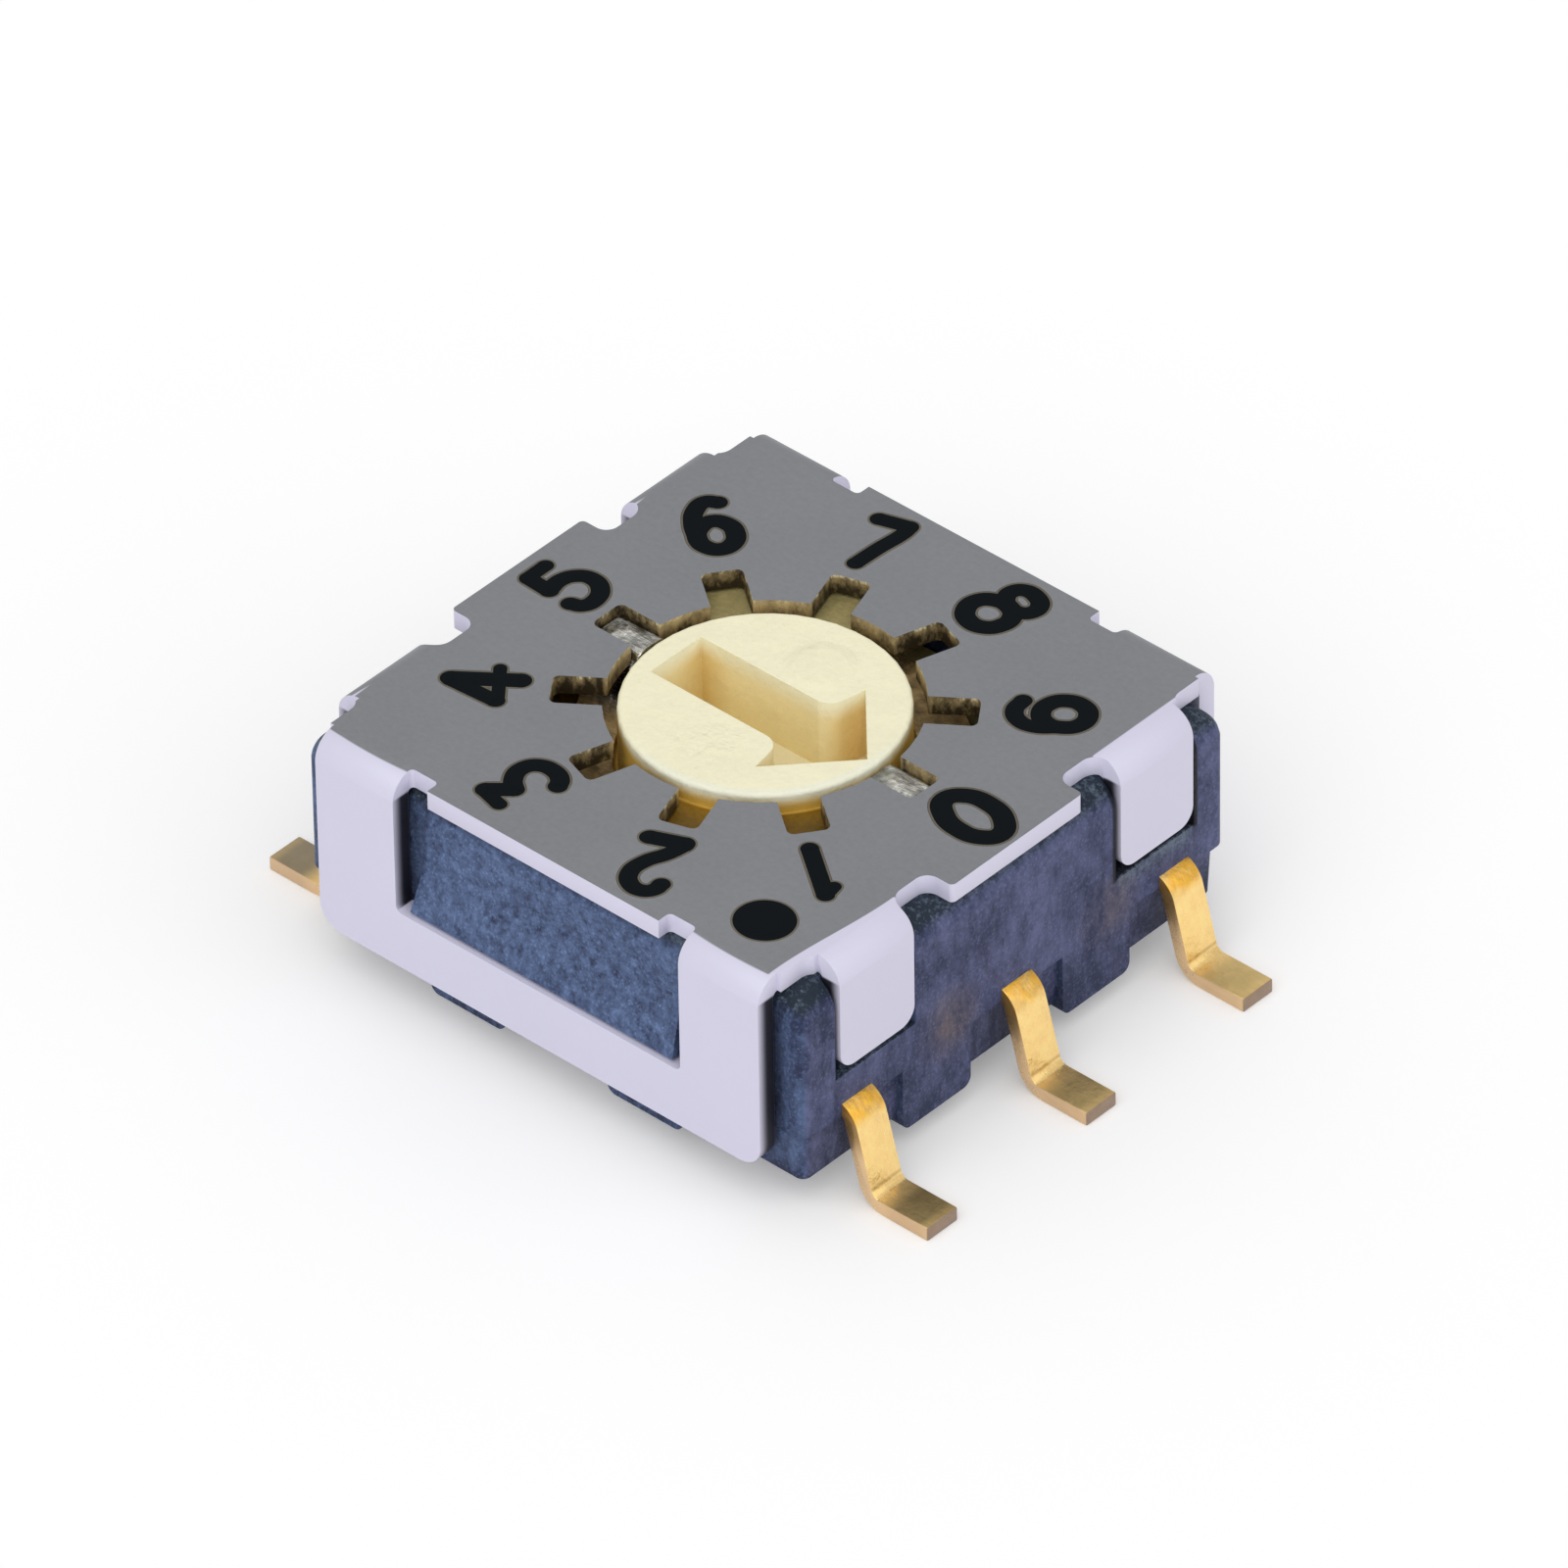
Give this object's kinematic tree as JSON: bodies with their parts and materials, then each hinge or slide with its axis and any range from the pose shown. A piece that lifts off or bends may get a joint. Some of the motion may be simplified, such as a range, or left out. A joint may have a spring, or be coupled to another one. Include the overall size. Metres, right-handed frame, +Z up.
{
  "type": "rotary dip switch",
  "caption": "Square surface-mount rotary code switch with a folded sheet cover, an arrow-slot rotor, digits round its position slots and gull-wing leads in two rows.",
  "frame": {"origin": "bottom centre, on the plane of the solder feet and on the rotor's axis", "axes": "+Z up along the rotor's axis, +X across the two rows of leads towards position zero, +Y along the rows"},
  "size_m": [0.0096, 0.0072, 0.0032],
  "materials": {
    "base_plastic": "moulded, fine grain",
    "cover_sheet": "flat matte",
    "rotor_plastic": "moulded, satin",
    "spring_steel": "bright rolled",
    "contact_metal": "rolled",
    "lead_metal": "gold plated"
  },
  "bodies": {
    "housing": {"base": "base_plastic", "cover": "cover_sheet", "terminal_one": "lead_metal", "terminal_two": "lead_metal", "terminal_four": "lead_metal", "terminal_eight": "lead_metal", "terminal_common": "lead_metal"},
    "rotor_unit": {"rotor": "rotor_plastic", "detent_spring": "spring_steel", "contact_wiper": "contact_metal"}
  },
  "joints": [
    {"name": "rotor_turn", "type": "hinge", "parent": "housing", "child": "rotor_unit", "pos_m": [0, 0, 0.001], "axis": [0, 0, 1], "continuous": true, "deforming": ["detent_spring"]}
  ]
}
